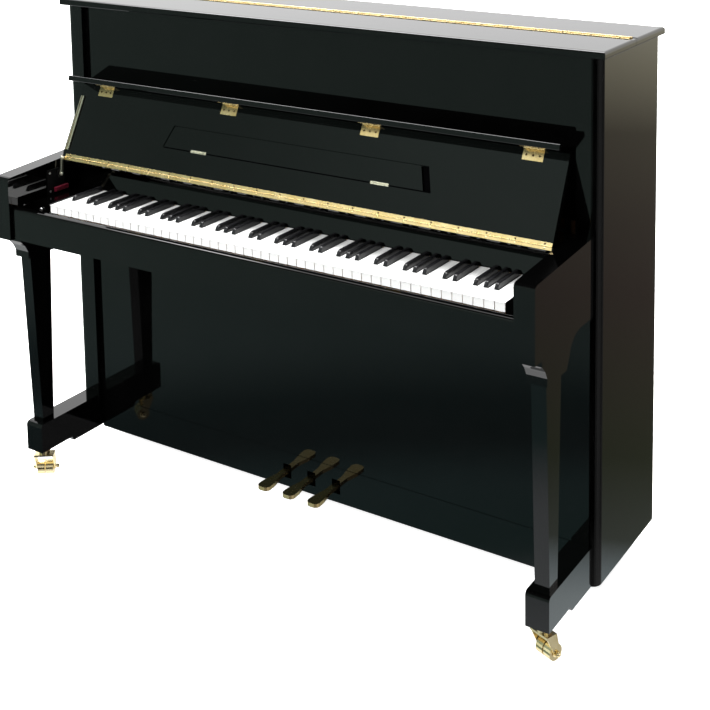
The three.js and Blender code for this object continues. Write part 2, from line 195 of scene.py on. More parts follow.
def felt(name, dark, light, gloss=0.5):
    material, tree, shader = new_material(name, sheen_weight=0.16 * gloss, specular_ior_level=gloss)
    fibres = noise(tree, 900, 6)
    colour = ramp(tree, fibres, [(0.3, dark), (0.7, light)])
    tree.links.new(colour, shader.inputs["Base Color"])
    tree.links.new(between(tree, fibres, 0.85, 1.0), shader.inputs["Roughness"])
    bump(tree, shader, fibres, 0.0008)
    return material


def gilt():
    material, tree, shader = new_material("gilt_iron", metallic=0.7)
    cast = noise(tree, 260, 8)
    colour = ramp(tree, cast, [(0.3, (0.45, 0.29, 0.09)), (0.7, (0.66, 0.46, 0.17))])
    tree.links.new(colour, shader.inputs["Base Color"])
    tree.links.new(between(tree, cast, 0.35, 0.5), shader.inputs["Roughness"])
    bump(tree, shader, cast, 0.0006)
    return material


LACQUER = lacquer()
BRASS = metal("brass", (0.80, 0.58, 0.24), (0.92, 0.74, 0.40), 0.26)
DARK_BRASS = metal("dark_brass", (0.12, 0.07, 0.03), (0.2, 0.12, 0.05), 0.3)
PALE_BRASS = metal("pale_brass", (0.84, 0.79, 0.58), (0.94, 0.90, 0.72), 0.28)
CASTER_BRASS = metal("caster_brass", (0.84, 0.70, 0.38), (0.95, 0.83, 0.52), 0.24)
BRUSHED = metal("brushed_steel", even(0.42), even(0.56), 0.3, 90, (20, 1, 1))
COPPER = metal("copper_winding", (0.55, 0.24, 0.12), (0.72, 0.36, 0.2), 0.25, 300)
IVORY = plastic("ivory", (0.88, 0.88, 0.87), (0.92, 0.92, 0.91), 0.16)
EBONY = plastic("ebony", (0.008, 0.008, 0.009), (0.014, 0.014, 0.015), 0.22)
MATT_BLACK = plastic("matt_black", even(0.001), even(0.002), 0.5, specular_ior_level=0.1)
SPRUCE = timber("spruce", (0.52, 0.33, 0.16), (0.68, 0.47, 0.26), 2)
KEY_WOOD = timber("key_wood", (0.55, 0.38, 0.2), (0.7, 0.52, 0.31), 1)
BEECH = timber("beech", (0.42, 0.26, 0.13), (0.55, 0.36, 0.2), 0)
FELT_RED = felt("felt_red", (0.05, 0.0006, 0.006), (0.12, 0.0015, 0.014), 0.2)
# Black felt for the nameboard's strip, and also the finish of the strips that paint shade in the desk's gap
# and slot and on the nameboard's riser.
BLACK_FELT_AND_SHADE = felt("black_felt_and_shade", (0.0004, 0.0004, 0.0005), (0.0012, 0.0012, 0.0013), 0)
FELT_WHITE = felt("felt_white", (0.62, 0.6, 0.54), (0.8, 0.78, 0.72))
GILT = gilt()

FINISH = {
    "black_lacquer": LACQUER, "brass": BRASS, "ivory": IVORY, "ebony": EBONY, "spruce": SPRUCE,
    "beech": BEECH, "gilt_iron": GILT, "felt": FELT_RED, "steel": BRUSHED,
}
SLOT = {row["node"]: row["material_slot"] for row in frame["record"]["subparts"]}


# ---- Mesh helpers ----
def soften(obj, width, segments=2):
    """Merges coplanar facets, rounds the edges and keeps the flats flat."""
    flat = obj.modifiers.new("merge facets", "DECIMATE")
    flat.decimate_type = "DISSOLVE"
    flat.angle_limit = radians(0.3)
    bevel = obj.modifiers.new("edges", "BEVEL")
    bevel.width = width
    bevel.segments = segments
    bevel.limit_method = "ANGLE"
    bevel.angle_limit = radians(28)
    bevel.harden_normals = True
    for polygon in obj.data.polygons:
        polygon.use_smooth = True


def piece(name, bm, material, body, width, segments=2):
    """Turns a bmesh into a piece that rides on a body, its edges rounded where a width is given."""
    bmesh.ops.recalc_face_normals(bm, faces=bm.faces)
    mesh = bpy.data.meshes.new(name)
    bm.to_mesh(mesh)
    bm.free()
    mesh.materials.append(material)
    obj = bpy.data.objects.new(name, mesh)
    scene.collection.objects.link(obj)
    if width:
        soften(obj, width, segments)
    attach(obj, body)
    return obj


def add_box(bm, low, high, place=Matrix()):
    corners = [
        bm.verts.new(place @ Vector((x, y, z)))
        for x in (low[0], high[0]) for y in (low[1], high[1]) for z in (low[2], high[2])
    ]
    for face in ((0, 1, 3, 2), (4, 6, 7, 5), (0, 4, 5, 1), (2, 3, 7, 6), (0, 2, 6, 4), (1, 5, 7, 3)):
        bm.faces.new([corners[i] for i in face])


def add_loft(bm, rings, place=Matrix()):
    """Rings of equal length joined in order, closed at both ends."""
    loops = [[bm.verts.new(place @ Vector(point)) for point in ring] for ring in rings]
    count = len(loops[0])
    for near, far in zip(loops, loops[1:]):
        for i in range(count):
            j = (i + 1) % count
            bm.faces.new((near[i], near[j], far[j], far[i]))
    bm.faces.new(loops[0][::-1])
    bm.faces.new(loops[-1])


def add_turning(bm, start, end, profile, sides, place=Matrix()):
    """A turned shape between two points; the profile is (share of the length, radius)."""
    start, end = Vector(start), Vector(end)
    axis = (end - start).normalized()
    across = axis.orthogonal().normalized()
    other = axis.cross(across)
    rings = []
    for share, radius in profile:
        centre = start.lerp(end, share)
        rings.append([
            centre + across * radius * cos(2 * pi * k / sides) + other * radius * sin(2 * pi * k / sides)
            for k in range(sides)
        ])
    add_loft(bm, rings, place)


def add_rod(bm, start, end, radius, sides, place=Matrix()):
    add_turning(bm, start, end, [(0, radius), (1, radius)], sides, place)


def add_screw(bm, centre, normal, radius, place=Matrix()):
    """A low domed screw head with a recessed middle."""
    centre, normal = Vector(centre), Vector(normal).normalized()
    tall = radius * 0.35
    shape = ((0, 1), (0.55, 0.93), (1, 0.55), (1, 0.3), (0.45, 0.22))
    profile = [(share, radius * width) for share, width in shape]
    add_turning(bm, centre - normal * tall * 0.3, centre + normal * tall, profile, 14, place)


# ---- Carried-over CAD nodes ----
# How far their edges are rounded, in mm, by material and for single nodes.
EDGE = {
    "black_lacquer": 1.4, "brass": 0.6, "steel": 0.5, "spruce": 1.5,
    "beech": 1.0, "gilt_iron": 2.5, "felt": 0.8,
}
OWN_EDGE = {
    "fallboard": 1.2, "music_desk": 0.8, "hinge_rail": 1.0, "lid_front": 0.8, "lid_rear": 0.8,
    **{f"caster_{end}_{word}_wheel": 3.5 for end in ("front", "rear") for word, _ in SIDES},
}
OWN_FINISH = {
    "closer_body": MATT_BLACK,
    **{name: CASTER_BRASS for name in frame["nodes"] if name.startswith("caster_")},
}


def dress_nodes():
    for name, obj in frame["nodes"].items():
        kind = SLOT[name]
        obj.data.materials.clear()
        obj.data.materials.append(OWN_FINISH.get(name, FINISH[kind]))
        if kind in EDGE:
            soften(obj, OWN_EDGE.get(name, EDGE[kind]) * MM, 3)


# ---- Keys ----
PITCH = 23.6 * MM
KEY_COUNT = 88
KEY_FRONT, HEAD_REAR, KEY_REAR = -213 * MM, -162 * MM, 109 * MM
KEY_TOP, TOP_THICK, KEY_LOW = 715 * MM, 2.2 * MM, 695.5 * MM
SHARP_WIDTH, SHARP_FRONT, SHARP_REAR = 11 * MM, -160.6 * MM, -66 * MM
SHARP_TOP, SHARP_BASE, SHARP_LOW = 727 * MM, 711 * MM, 701.5 * MM
KEYBOARD_LEFT = -26 * PITCH


def is_sharp(key):
    """Whether a key is black; key 0 is the lowest A."""
    return (key + 9) % 12 in (1, 3, 6, 8, 10)


def left_edge(key):
    return KEYBOARD_LEFT + PITCH * sum(not is_sharp(k) for k in range(key))


def natural_spans(key):
    """(left, right) of the key's head and of its narrower stem."""
    near, far = left_edge(key), left_edge(key) + PITCH
    gap, notch = 0.35 * MM, SHARP_WIDTH / 2 + 1.0 * MM
    left, right = near + gap, far - gap
    stem_left = near + notch if key > 0 and is_sharp(key - 1) else left
    stem_right = far - notch if key < KEY_COUNT - 1 and is_sharp(key + 1) else right
    return left, right, stem_left, stem_right


def add_natural_top(bm, key):
    """The white covering: an L or T shaped plate with a small lip over its front plate."""
    left, right, stem_left, stem_right = natural_spans(key)
    rear = SHARP_REAR + 20 * MM
    outline = [(left, KEY_FRONT), (right, KEY_FRONT), (right, HEAD_REAR)]
    if stem_right != right:
        outline += [(stem_right, HEAD_REAR)]
    outline += [(stem_right, rear), (stem_left, rear)]
    if stem_left != left:
        outline += [(stem_left, HEAD_REAR)]
    outline += [(left, HEAD_REAR)]
    add_loft(bm, [[(x, y, z) for x, y in outline] for z in (KEY_TOP - TOP_THICK, KEY_TOP)])
    front_plate_top = KEY_TOP - TOP_THICK - 0.05 * MM
    add_box(bm, (left + 0.3 * MM, KEY_FRONT + 0.8 * MM, KEY_LOW),
            (right - 0.3 * MM, KEY_FRONT + 3 * MM, front_plate_top))


def add_natural_stick(bm, key):
    left, right, stem_left, stem_right = natural_spans(key)
    top = KEY_TOP - TOP_THICK - 0.1 * MM
    inset = 0.6 * MM
    add_box(bm, (left + inset, KEY_FRONT + 3.1 * MM, KEY_LOW), (right - inset, HEAD_REAR - inset, top))
    add_box(bm, (stem_left + inset, HEAD_REAR - inset, KEY_LOW), (stem_right - inset, KEY_REAR, top))


def add_sharp_top(bm, key):
    """A tapered black finger with a sloped, rounded nose."""
    middle, foot = left_edge(key), SHARP_WIDTH / 2 - 0.2 * MM
    crown, shoulder = 1.1 * MM, 0.25 * MM

    def ring(y, top, taper):
        upper = SHARP_WIDTH / 2 - taper
        return [
            (middle - foot, y, SHARP_BASE), (middle + foot, y, SHARP_BASE),
            (middle + upper, y, top - crown), (middle + upper - crown, y, top - shoulder),
            (middle, y, top), (middle - upper + crown, y, top - shoulder), (middle - upper, y, top - crown),
        ]

    rings = [
        ring(SHARP_FRONT + back * MM, SHARP_TOP - down * MM, taper * MM)
        for back, down, taper in ((0, 13, 1.0), (1.5, 7, 1.3), (5, 2.2, 1.4), (8, 0.7, 1.4), (12, 0, 1.4))
    ]
    add_loft(bm, rings + [ring(SHARP_REAR, SHARP_TOP, 1.4 * MM)])


def add_sharp_stick(bm, key):
    middle, half = left_edge(key), SHARP_WIDTH / 2 - 0.4 * MM
    front = SHARP_FRONT + 1.6 * MM
    add_box(bm, (middle - half, front, SHARP_LOW), (middle + half, KEY_REAR, SHARP_BASE))


def add_bank_rail(bm, keys, sharp):
    """The rail behind the nameboard that ties a bank together: on top of the sharps, under the naturals."""
    first, last = left_edge(keys[0]), left_edge(keys[-1])
    gap = 0.1 * MM
    if sharp:
        low, high = 722.1 * MM, 727 * MM
        for key in keys:
            middle, half = left_edge(key), 4 * MM
            add_box(bm, (middle - half, 70 * MM, SHARP_BASE + gap), (middle + half, 90 * MM, low - gap))
    else:
        last += PITCH
        low, high = 690 * MM, KEY_LOW - gap
    add_box(bm, (first + 3 * MM, 62 * MM, low), (last - 3 * MM, 96 * MM, high))


def make_keys():
    """Shaped keys over the CAD's banks and the five single keys."""
    middle_c = 39
    groups = {
        "natural_keys_bass": [k for k in range(middle_c) if not is_sharp(k)],
        "sharp_keys_bass": [k for k in range(middle_c) if is_sharp(k)],
        "natural_keys_treble": [k for k in range(middle_c + 5, KEY_COUNT) if not is_sharp(k)],
        "sharp_keys_treble": [k for k in range(middle_c + 5, KEY_COUNT) if is_sharp(k)],
    }
    for step, name in enumerate(("key_c4", "key_cs4", "key_d4", "key_ds4", "key_e4")):
        groups[name] = [middle_c + step]
    for body, keys in groups.items():
        sharp = is_sharp(keys[0])
        tops, sticks = bmesh.new(), bmesh.new()
        for key in keys:
            (add_sharp_top if sharp else add_natural_top)(tops, key)
            (add_sharp_stick if sharp else add_natural_stick)(sticks, key)
        if len(keys) > 1:
            add_bank_rail(sticks, keys, sharp)
        finish, edge = (EBONY, 0.5 * MM) if sharp else (IVORY, 0.6 * MM)
        cover = piece(f"{body}_covers", tops, finish, body, edge, 3)
        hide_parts(body)
        piece(f"{body}_sticks", sticks, KEY_WOOD, body, 0.3 * MM)


# ---- Hinges, fittings and painted shade on the lean of the fallboard ----
LEAN = radians(26.7)
JOINT = {joint["name"]: joint for joint in frame["record"]["behaviour"]["joints"]}
HINGE = Vector(JOINT["fallboard_hinge"]["pos_m"])
ON_BOARD = Matrix.Translation((0, HINGE.y, HINGE.z)) @ Matrix.Rotation(-LEAN, 4, "X")
BOARD_HALF = 667 * MM
BOARD_FACE = 1 * MM
BOARD_TOP = 186.5 * MM
DESK_PIN = 65 * MM
OUT_OF_BOARD = (0, -1, 0)


def spaced(low, high, step):
    """Evenly spaced places from low to high, about one step apart."""
    count = max(2, round((high - low) / step) + 1)
    return [low + (high - low) * i / (count - 1) for i in range(count)]


def add_knuckles(bm, bounds, first, gap, radius, pin=(0, 0), sides=16, place=Matrix()):
    """Every second knuckle between the bounds, beginning with the first or the next, on a pin at (y, z)."""
    for start, end in list(zip(bounds, bounds[1:]))[first::2]:
        add_rod(bm, (start + gap, *pin), (end - gap, *pin), radius, sides, place)


def make_fallboard_hinge():
    """A long hinge whose lower leaf lies on the hinge rail and whose upper leaf lies on the board."""
    left, right = -655.5 * MM, BOARD_HALF
    face, back = 0.1 * MM, 0.85 * MM
    bounds = spaced(left, right, 22 * MM)
    inset = 16 * MM
    for name, low, high, body, first, screw_finish in (
        ("upper", 1.3 * MM, 7.7 * MM, "fallboard", 0, DARK_BRASS),
        ("lower", -7.4 * MM, -1.3 * MM, "case", 1, BRASS),
    ):
        bm = bmesh.new()
        add_box(bm, (left, face, low), (right, back, high), ON_BOARD)
        add_knuckles(bm, bounds, first, 0.1 * MM, 1.15 * MM, place=ON_BOARD)
        leaf = piece(f"fallboard_hinge_{name}_leaf", bm, BRASS, body, 0.2 * MM)
        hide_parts(f"fallboard_hinge_{name}")
        screws = bmesh.new()
        for x in spaced(left + inset, right - inset, 65 * MM):
            add_screw(screws, (x, face, (low + high) / 2), OUT_OF_BOARD, 2.1 * MM, ON_BOARD)
        piece(f"fallboard_hinge_{name}_screws", screws, screw_finish, body, 0)


def make_butt_hinges():
    """Four small hinges that carry the folding lip, which droops a little from square to the board."""
    pin = Vector(JOINT["lip_hinge"]["pos_m"])
    on_lip = Matrix.Translation((0, pin.y, pin.z)) @ Matrix.Rotation(radians(8) - LEAN, 4, "X")
    half = 23.5 * MM
    front, back = BOARD_FACE - 0.2 * MM, BOARD_FACE + 0.1 * MM
    for number, middle in enumerate((-585, -195, 196, 588), 1):
        x = middle * MM
        left, right = x - half, x + half
        lower, upper, screws, lip_screws = (bmesh.new() for _ in range(4))
        add_box(lower, (left, front, BOARD_TOP - 25 * MM), (right, back, BOARD_TOP - 1.5 * MM), ON_BOARD)
        add_box(upper, (left, -20 * MM, 0), (right, -2.2 * MM, 0.4 * MM), on_lip)
        bounds = [left + half * 0.4 * k for k in range(6)]
        for bm, first in ((lower, 0), (upper, 1)):
            add_knuckles(bm, bounds, first, 0.2 * MM, 1.8 * MM, place=on_lip)
        for aside in (-15 * MM, 0, 15 * MM):
            on_face = (x + aside, BOARD_FACE - 0.1 * MM, BOARD_TOP - 14 * MM)
            add_screw(screws, on_face, OUT_OF_BOARD, 2.4 * MM, ON_BOARD)
            add_screw(lip_screws, (x + aside, -11 * MM, 0), (0, 0, -1), 2.2 * MM, on_lip)
        piece(f"lip_hinge_{number}_board_leaf", lower, BRASS, "fallboard", 0.3 * MM)
        piece(f"lip_hinge_{number}_lip_leaf", upper, BRASS, "fallboard_lip", 0.3 * MM)
        piece(f"lip_hinge_{number}_board_screws", screws, DARK_BRASS, "fallboard", 0)
        piece(f"lip_hinge_{number}_lip_screws", lip_screws, DARK_BRASS, "fallboard_lip", 0)


def make_desk_hinges():
    """Two slim hinges in the seam under the folding desk."""
    half = 23 * MM
    front, back = BOARD_FACE - 0.9 * MM, BOARD_FACE + 0.1 * MM
    for word, side in SIDES:
        x = side * 250 * MM
        left, right = x - half, x + half
        fixed, moving, screws = (bmesh.new() for _ in range(3))
        add_box(fixed, (left, front, DESK_PIN - 3.4 * MM), (right, back, DESK_PIN - 1.2 * MM), ON_BOARD)
        add_box(moving, (left, front, DESK_PIN + 1.2 * MM), (right, back, DESK_PIN + 3 * MM), ON_BOARD)
        bounds = [left + half * k * 2 / 3 for k in range(4)]
        for bm, first in ((fixed, 0), (moving, 1)):
            add_knuckles(bm, bounds, first, 0.2 * MM, 1.05 * MM, (0, DESK_PIN), place=ON_BOARD)
        for aside in (-14 * MM, 14 * MM):
            add_screw(screws, (x + aside, front, DESK_PIN - 2.3 * MM), OUT_OF_BOARD, 0.9 * MM, ON_BOARD)
        piece(f"desk_hinge_{word}_board_leaf", fixed, PALE_BRASS, "fallboard", 0.2 * MM)
        piece(f"desk_hinge_{word}_desk_leaf", moving, PALE_BRASS, "music_desk", 0.2 * MM)
        piece(f"desk_hinge_{word}_screws", screws, DARK_BRASS, "fallboard", 0)


def paint_desk_gap_shade():
    """Painted shade: black strips along the gap under the folding desk, left open at its hinges, and a black
    floor for its finger slot, standing in for the shade in them.
    """
    seam = bmesh.new()
    front, back = BOARD_FACE - 0.05 * MM, BOARD_FACE + 0.3 * MM
    for left, right in ((-357, -274), (-226, 226), (274, 376)):
        add_box(seam, (left * MM, front, DESK_PIN - 2.4 * MM), (right * MM, back, DESK_PIN), ON_BOARD)
    # The finger slot's floor is black to paint the shade inside the slot.
    slot = ((358, 65.6), (375.4, 65.6), (358.4, 117.4), (341, 117.4))
    add_loft(seam, [[(x * MM, y * MM, z * MM) for x, z in slot] for y in (7.6, 8.9)], ON_BOARD)
    piece("desk_gap_painted_shade", seam, BLACK_FELT_AND_SHADE, "fallboard", 0)


def make_lid_hinge():
    """A long hinge on top of the two lids."""
    pin = Vector(JOINT["lid_hinge"]["pos_m"])
    lid_top = 1184 * MM
    half, inset = 727 * MM, 20 * MM
    low, high, knuckle_height = lid_top + 0.1 * MM, lid_top + 1.3 * MM, lid_top + 1.4 * MM
    bounds = spaced(-half, half, 30 * MM)
    for word, side, body, first in (("front", -1, "lid", 0), ("rear", 1, "case", 1)):
        bm = bmesh.new()
        near, far = sorted((pin.y + side * 1.6 * MM, pin.y + side * 13 * MM))
        add_box(bm, (-half, near, low), (half, far, high))
        add_knuckles(bm, bounds, first, 0.4 * MM, 2 * MM, (pin.y, knuckle_height), 12)
        leaf = piece(f"lid_hinge_{word}_leaf", bm, BRASS, body, 0.3 * MM)
        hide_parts(f"lid_hinge_{word}")
        screws = bmesh.new()
        for x in spaced(-half + inset, half - inset, 64 * MM):
            add_screw(screws, (x, pin.y + side * 7.5 * MM, high), (0, 0, 1), 2.3 * MM)
        piece(f"lid_hinge_{word}_screws", screws, DARK_BRASS, body, 0)


# ---- Soft-close damper at the bass end ----
def make_closer_mount():
    """The damper's four screws and the felt pad at its lower rear corner."""
    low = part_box("closer_body")[0]
    screws = bmesh.new()
    for up in (8 * MM, 54 * MM):
        for back in (8 * MM, 47 * MM):
            add_screw(screws, (low.x + 3.1 * MM, low.y + back, low.z + up), (1, 0, 0), 3.2 * MM)
    piece("closer_screws", screws, BRUSHED, "case", 0)
    pad = bmesh.new()
    add_box(pad, (low.x + 0.3 * MM, -148 * MM, 722.5 * MM), (low.x + 9 * MM, -104 * MM, 734 * MM))
    piece("closer_felt", pad, FELT_RED, "case", 2 * MM, 3)


def make_closer_track():
    """A channel on the board for the link's end: two edges and a floor."""
    channel = bmesh.new()
    low, high, back = 18 * MM, 156 * MM, BOARD_FACE - 0.1 * MM
    for left, right, front in ((-661, -659.4, -2.4), (-652.6, -651, -2.4), (-659.5, -652.5, 0.1)):
        add_box(channel, (left * MM, front * MM, low), (right * MM, back, high), ON_BOARD)
    track = piece("closer_track_channel", channel, PALE_BRASS, "fallboard", 0.2 * MM)
    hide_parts("closer_track")


def make_closer_arm():
    """A tapered link with a boss on its pivot and a roller at its other end."""
    lean = Matrix.Translation(JOINT["closer_pivot"]["pos_m"]) @ Matrix.Rotation(radians(-6), 4, "X")
    link = bmesh.new()
    outline = ((-4.5, 0), (4.5, 0), (3, 36), (-3, 36))
    add_loft(link, [[(x * MM, y * MM, z * MM) for y, z in outline] for x in (-1.8, 1.6)], lean)
    start, roller_height = -1.9 * MM, 39 * MM
    boss = [(0, 6 * MM), (0.6, 6 * MM), (0.7, 3.5 * MM), (1, 3 * MM)]
    roller = [(0, 4.5 * MM), (0.45, 4.5 * MM), (0.5, 2.5 * MM), (1, 2.5 * MM)]
    add_turning(link, (start, 0, 0), (3.2 * MM, 0, 0), boss, 20, lean)
    add_turning(link, (start, 0, roller_height), (7 * MM, 0, roller_height), roller, 20, lean)
    arm = piece("closer_arm", link, PALE_BRASS, "closer_link", 0.4 * MM)
    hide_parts("closer_link")


# ---- Small fittings and painted shade ----
def make_key_block_screws():
    knobs = bmesh.new()
    height = 700 * MM
    knob = [(0, 4.5 * MM), (0.4, 5 * MM), (0.8, 4 * MM), (1, 2.5 * MM)]
    for _, side in SIDES:
        x = side * 641 * MM
        add_turning(knobs, (x, -214 * MM, height), (x, -220 * MM, height), knob, 20)
    piece("key_block_screws", knobs, BRUSHED, "case", 0)


def make_nameboard_felt_and_shade():
    """A black felt strip under the nameboard, and a black strip on its riser that paints the shade in the
    recess under the hinge rail.
    """
    for name, low, high in (
        ("nameboard_felt", (-613 * MM, -63.5 * MM, 716.4 * MM), (613 * MM, -52 * MM, 718.3 * MM)),
        # Painted shade: the riser strip is black so that the recess under the hinge rail reads dark; the
        # lower strip is real felt.
        ("nameboard_riser_painted_shade", (-655 * MM, -34 * MM, 764.3 * MM), (668 * MM, -33.2 * MM, 789.5 * MM)),
    ):
        strip = bmesh.new()
        add_box(strip, low, high)
        piece(name, strip, BLACK_FELT_AND_SHADE, "case", 0.2 * MM)


def make_caster_fittings():
    """A collar round the top of each fork, and a nut and a hub cap on each side of its twin wheel."""
    collar = [(0, 14 * MM), (0.25, 17 * MM), (0.6, 17.5 * MM), (0.75, 20 * MM), (1, 20 * MM)]
    nut = [(0, 5.5 * MM), (0.4, 5.5 * MM), (0.75, 4 * MM), (1, 1.5 * MM)]
    cap = [(0, 9 * MM), (0.5, 8.5 * MM), (1, 5 * MM)]
    for end in ("front", "rear"):
        for word, _ in SIDES:
            name = f"caster_{end}_{word}"
            stem = Vector(JOINT[f"{name}_swivel"]["pos_m"])
            spin = JOINT[f"{name}_spin"]
            hub, axle = Vector(spin["pos_m"]), Vector(spin["axis"])
            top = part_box(f"{name}_fork")[1].z
            plate, nuts = bmesh.new(), bmesh.new()
            add_turning(plate, (stem.x, stem.y, top - 9 * MM), (stem.x, stem.y, top - 0.2 * MM), collar, 32)
            for out in (-axle, axle):
                add_turning(nuts, hub + out * 26.6 * MM, hub + out * 32.1 * MM, nut, 18)
                add_turning(nuts, hub + out * 20.9 * MM, hub + out * 22.7 * MM, cap, 24)
            piece(f"{name}_collar", plate, DARK_BRASS, f"{name}_fork", 0.3 * MM)
            piece(f"{name}_hubs", nuts, CASTER_BRASS, f"{name}_wheel", 0.3 * MM)


# ---- Inside: strings, tuning pins and hammers ----
# How many of the lowest notes have a single string, and how many have wound ones.
SINGLE_NOTES, WOUND_NOTES = 12, 28


def add_strings(plain, wound, pins, note, x):
    """A note's one to three strings, each reaching down from its own tuning pin."""
    is_wound = note < WOUND_NOTES
    wires = 1 if note < SINGLE_NOTES else 2 if is_wound else 3
    radius = (0.8 - 0.55 * min(1, note / 30)) * MM
    bottom = (210 + note * 3) * MM if is_wound else (300 + 560 * (note / KEY_COUNT) ** 1.6) * MM
    pin = [(0, 3 * MM), (0.55, 3 * MM), (0.6, 2.6 * MM), (1, 2.3 * MM)]
    for wire in range(wires):
        across = x + (wire - (wires - 1) / 2) * 3.2 * MM
        top = (1085 + 14 * (wire + note % 2 * 1.5)) * MM
        strings = wound if is_wound else plain
        add_rod(strings, (across, 123 * MM, bottom), (across, 124.5 * MM, top), radius, 6)
        add_turning(pins, (across, 142.5 * MM, top), (across, 121.8 * MM, top), pin, 8)


def add_hammer(felts, shanks, note, x):
    """A felt head, smaller towards the treble, on an upright shank."""
    deep = (26 - 10 * note / KEY_COUNT) * MM
    nose = deep * 0.6
    outline = [
        (0, -8 * MM), (0, 8 * MM), (nose, 11 * MM), (deep, 3 * MM), (deep, -3 * MM), (nose, -11 * MM),
    ]
    back, height, half = 66 * MM, 912 * MM, 4.4 * MM
    add_loft(felts, [[(x + aside, back + y, height + z) for y, z in outline] for aside in (-half, half)])
    add_rod(shanks, (x, 62 * MM, 806 * MM), (x, 62 * MM, 921 * MM), 2.6 * MM, 8)


def make_inside():
    pins, plain, wound, felts, shanks = (bmesh.new() for _ in range(5))
    for note in range(KEY_COUNT):
        x = (-600 + 1200 * note / (KEY_COUNT - 1)) * MM
        add_strings(plain, wound, pins, note, x)
        add_hammer(felts, shanks, note, x)
    piece("tuning_pins", pins, BRUSHED, "case", 0)
    piece("plain_strings", plain, BRUSHED, "case", 0)
    piece("wound_strings", wound, COPPER, "case", 0)
    piece("hammer_felts", felts, FELT_WHITE, "hammer_rail", 1.2 * MM)
    piece("hammer_shanks", shanks, BEECH, "hammer_rail", 0)

    cloth = bmesh.new()
    add_box(cloth, (-600 * MM, 40.5 * MM, 903 * MM), (600 * MM, 59.5 * MM, 919 * MM))
    piece("hammer_rest_cloth", cloth, FELT_RED, "hammer_rail", 1 * MM)


# ---- Studio: a glowing floor, softboxes and the walls of the sky ----
def make_floor():
    """A wide round floor whose glow hides shadows; reflections show the low part of the sky in its place."""
    bm = bmesh.new()
    reach, sides = 40, 32
    turns = [2 * pi * k / sides for k in range(sides)]
    add_loft(bm, [[(reach * cos(turn), reach * sin(turn), z) for turn in turns] for z in (-0.02, 0)])
    bmesh.ops.recalc_face_normals(bm, faces=bm.faces)
    mesh = bpy.data.meshes.new("floor")
    bm.to_mesh(mesh)
    bm.free()
    paper, _, _ = new_material(
        "paper", roughness=0.9, base_color=(*even(0.9), 1),
        emission_color=(*even(1), 1), emission_strength=0.9,
    )
    mesh.materials.append(paper)
    floor = bpy.data.objects.new("floor", mesh)
    scene.collection.objects.link(floor)
    floor.visible_glossy = False


def add_softbox(name, place, tilt, size, power, shines_on=None, turn=0):
    """A rectangular light, tilted up from straight down and then turned.

    It lights everything and nothing reflects it. Given a collection to shine on, it lights only that
    collection's objects, and they do reflect it.
    """
    light = bpy.data.lights.new(name, "AREA")
    light.shape = "RECTANGLE"
    light.size, light.size_y = size
    light.energy = power
    lamp = bpy.data.objects.new(name, light)
    lamp.location = place
    lamp.rotation_euler = (radians(tilt), 0, radians(turn))
    scene.collection.objects.link(lamp)
    lamp.visible_camera = False
    lamp.visible_glossy = shines_on is not None
    if shines_on:
        lamp.light_linking.receiver_collection = shines_on


def light_brass():
    """Lights only for the bright metal: two high ones for the hinges, two low ones for the casters."""
    bright = bpy.data.collections.new("bright_metal")
    finishes = (BRASS, PALE_BRASS, CASTER_BRASS)
    for obj in scene.objects:
        if obj.type == "MESH" and obj.data.materials and obj.data.materials[0] in finishes:
            bright.objects.link(obj)
    add_softbox("brass_treble", (-1.35, -3, 2.65), 60, (2.4, 1.0), 8.5, bright)
    add_softbox("brass_bass", (-3.5, -3, 2.65), 60, (2.0, 1.0), 1.0, bright)
    add_softbox("brass_low", (-0.2, -2.4, 0.35), 90, (5.0, 0.7), 19, bright)
    add_softbox("brass_side", (2.4, -0.2, 0.5), 90, (3.0, 0.9), 14, bright, 90)


# A wall is a list of colours by the vertical part of the direction, -1 to 1. The overhead is the brightest.
BRIGHTEST = 12
WALL_TOP, OVERHEAD = 0.91, 0.95
WHITE_WALL = [(-0.6, even(1.0)), (0.0, even(1.4)), (0.4, even(1.5)), (WALL_TOP, even(1.5))]
SHADE_WALL = [(-0.7, even(1.2)), (-0.5, even(0.09)), (WALL_TOP, even(0.09))]
NEUTRAL_WALL = [(-0.7, even(1.2)), (-0.5, even(0.25)), (WALL_TOP, even(0.25))]
WARM_WALL = [
    (-0.7, (1.4, 1.45, 1.45)), (-0.568, (0.95, 1.05, 1.08)), (-0.54, (0.8, 0.9, 0.92)),
    (-0.524, (0.5, 0.58, 0.6)), (-0.508, (0.17, 0.19, 0.16)), (-0.46, (0.1, 0.11, 0.07)),
    (-0.36, (0.15, 0.12, 0.1)), (-0.31, (0.19, 0.16, 0.13)), (-0.25, (0.28, 0.25, 0.19)),
    (-0.2, (0.79, 0.73, 0.54)), (-0.15, (1.3, 1.25, 1.0)), (0.1, (1.5, 1.45, 1.35)), (WALL_TOP, even(1.5)),
]
GREY_GREEN = (0.22, 0.29, 0.26)
NEAR_FLOOR = [
    (-1, even(1.6)), (-0.7, (1.2, 1.25, 1.25)), (-0.55, (0.66, 0.7, 0.72)), (-0.515, (0.13, 0.23, 0.22)),
    (-0.48, (0.15, 0.24, 0.24)), (-0.455, (0.07, 0.1, 0.1)), (-0.43, (0.07, 0.11, 0.11)),
    (-0.395, (0.2, 0.28, 0.27)), (-0.33, (0.23, 0.31, 0.28)), (0.0, GREY_GREEN),
]
NEAR_TOP = [(0.7, even(0.03)), (WALL_TOP, even(0.03))]
GREY_WALL = [*NEAR_FLOOR, (0.62, GREY_GREEN), *NEAR_TOP]
PALE_WALL = [
    *NEAR_FLOOR, (0.35, (0.26, 0.34, 0.31)), (0.5, (0.4, 0.5, 0.46)), (0.62, (0.42, 0.54, 0.5)), *NEAR_TOP,
]
DARK_WALL = [(-1, even(1.6)), (-0.7, even(0.9)), (-0.5, even(0)), (WALL_TOP, even(0))]


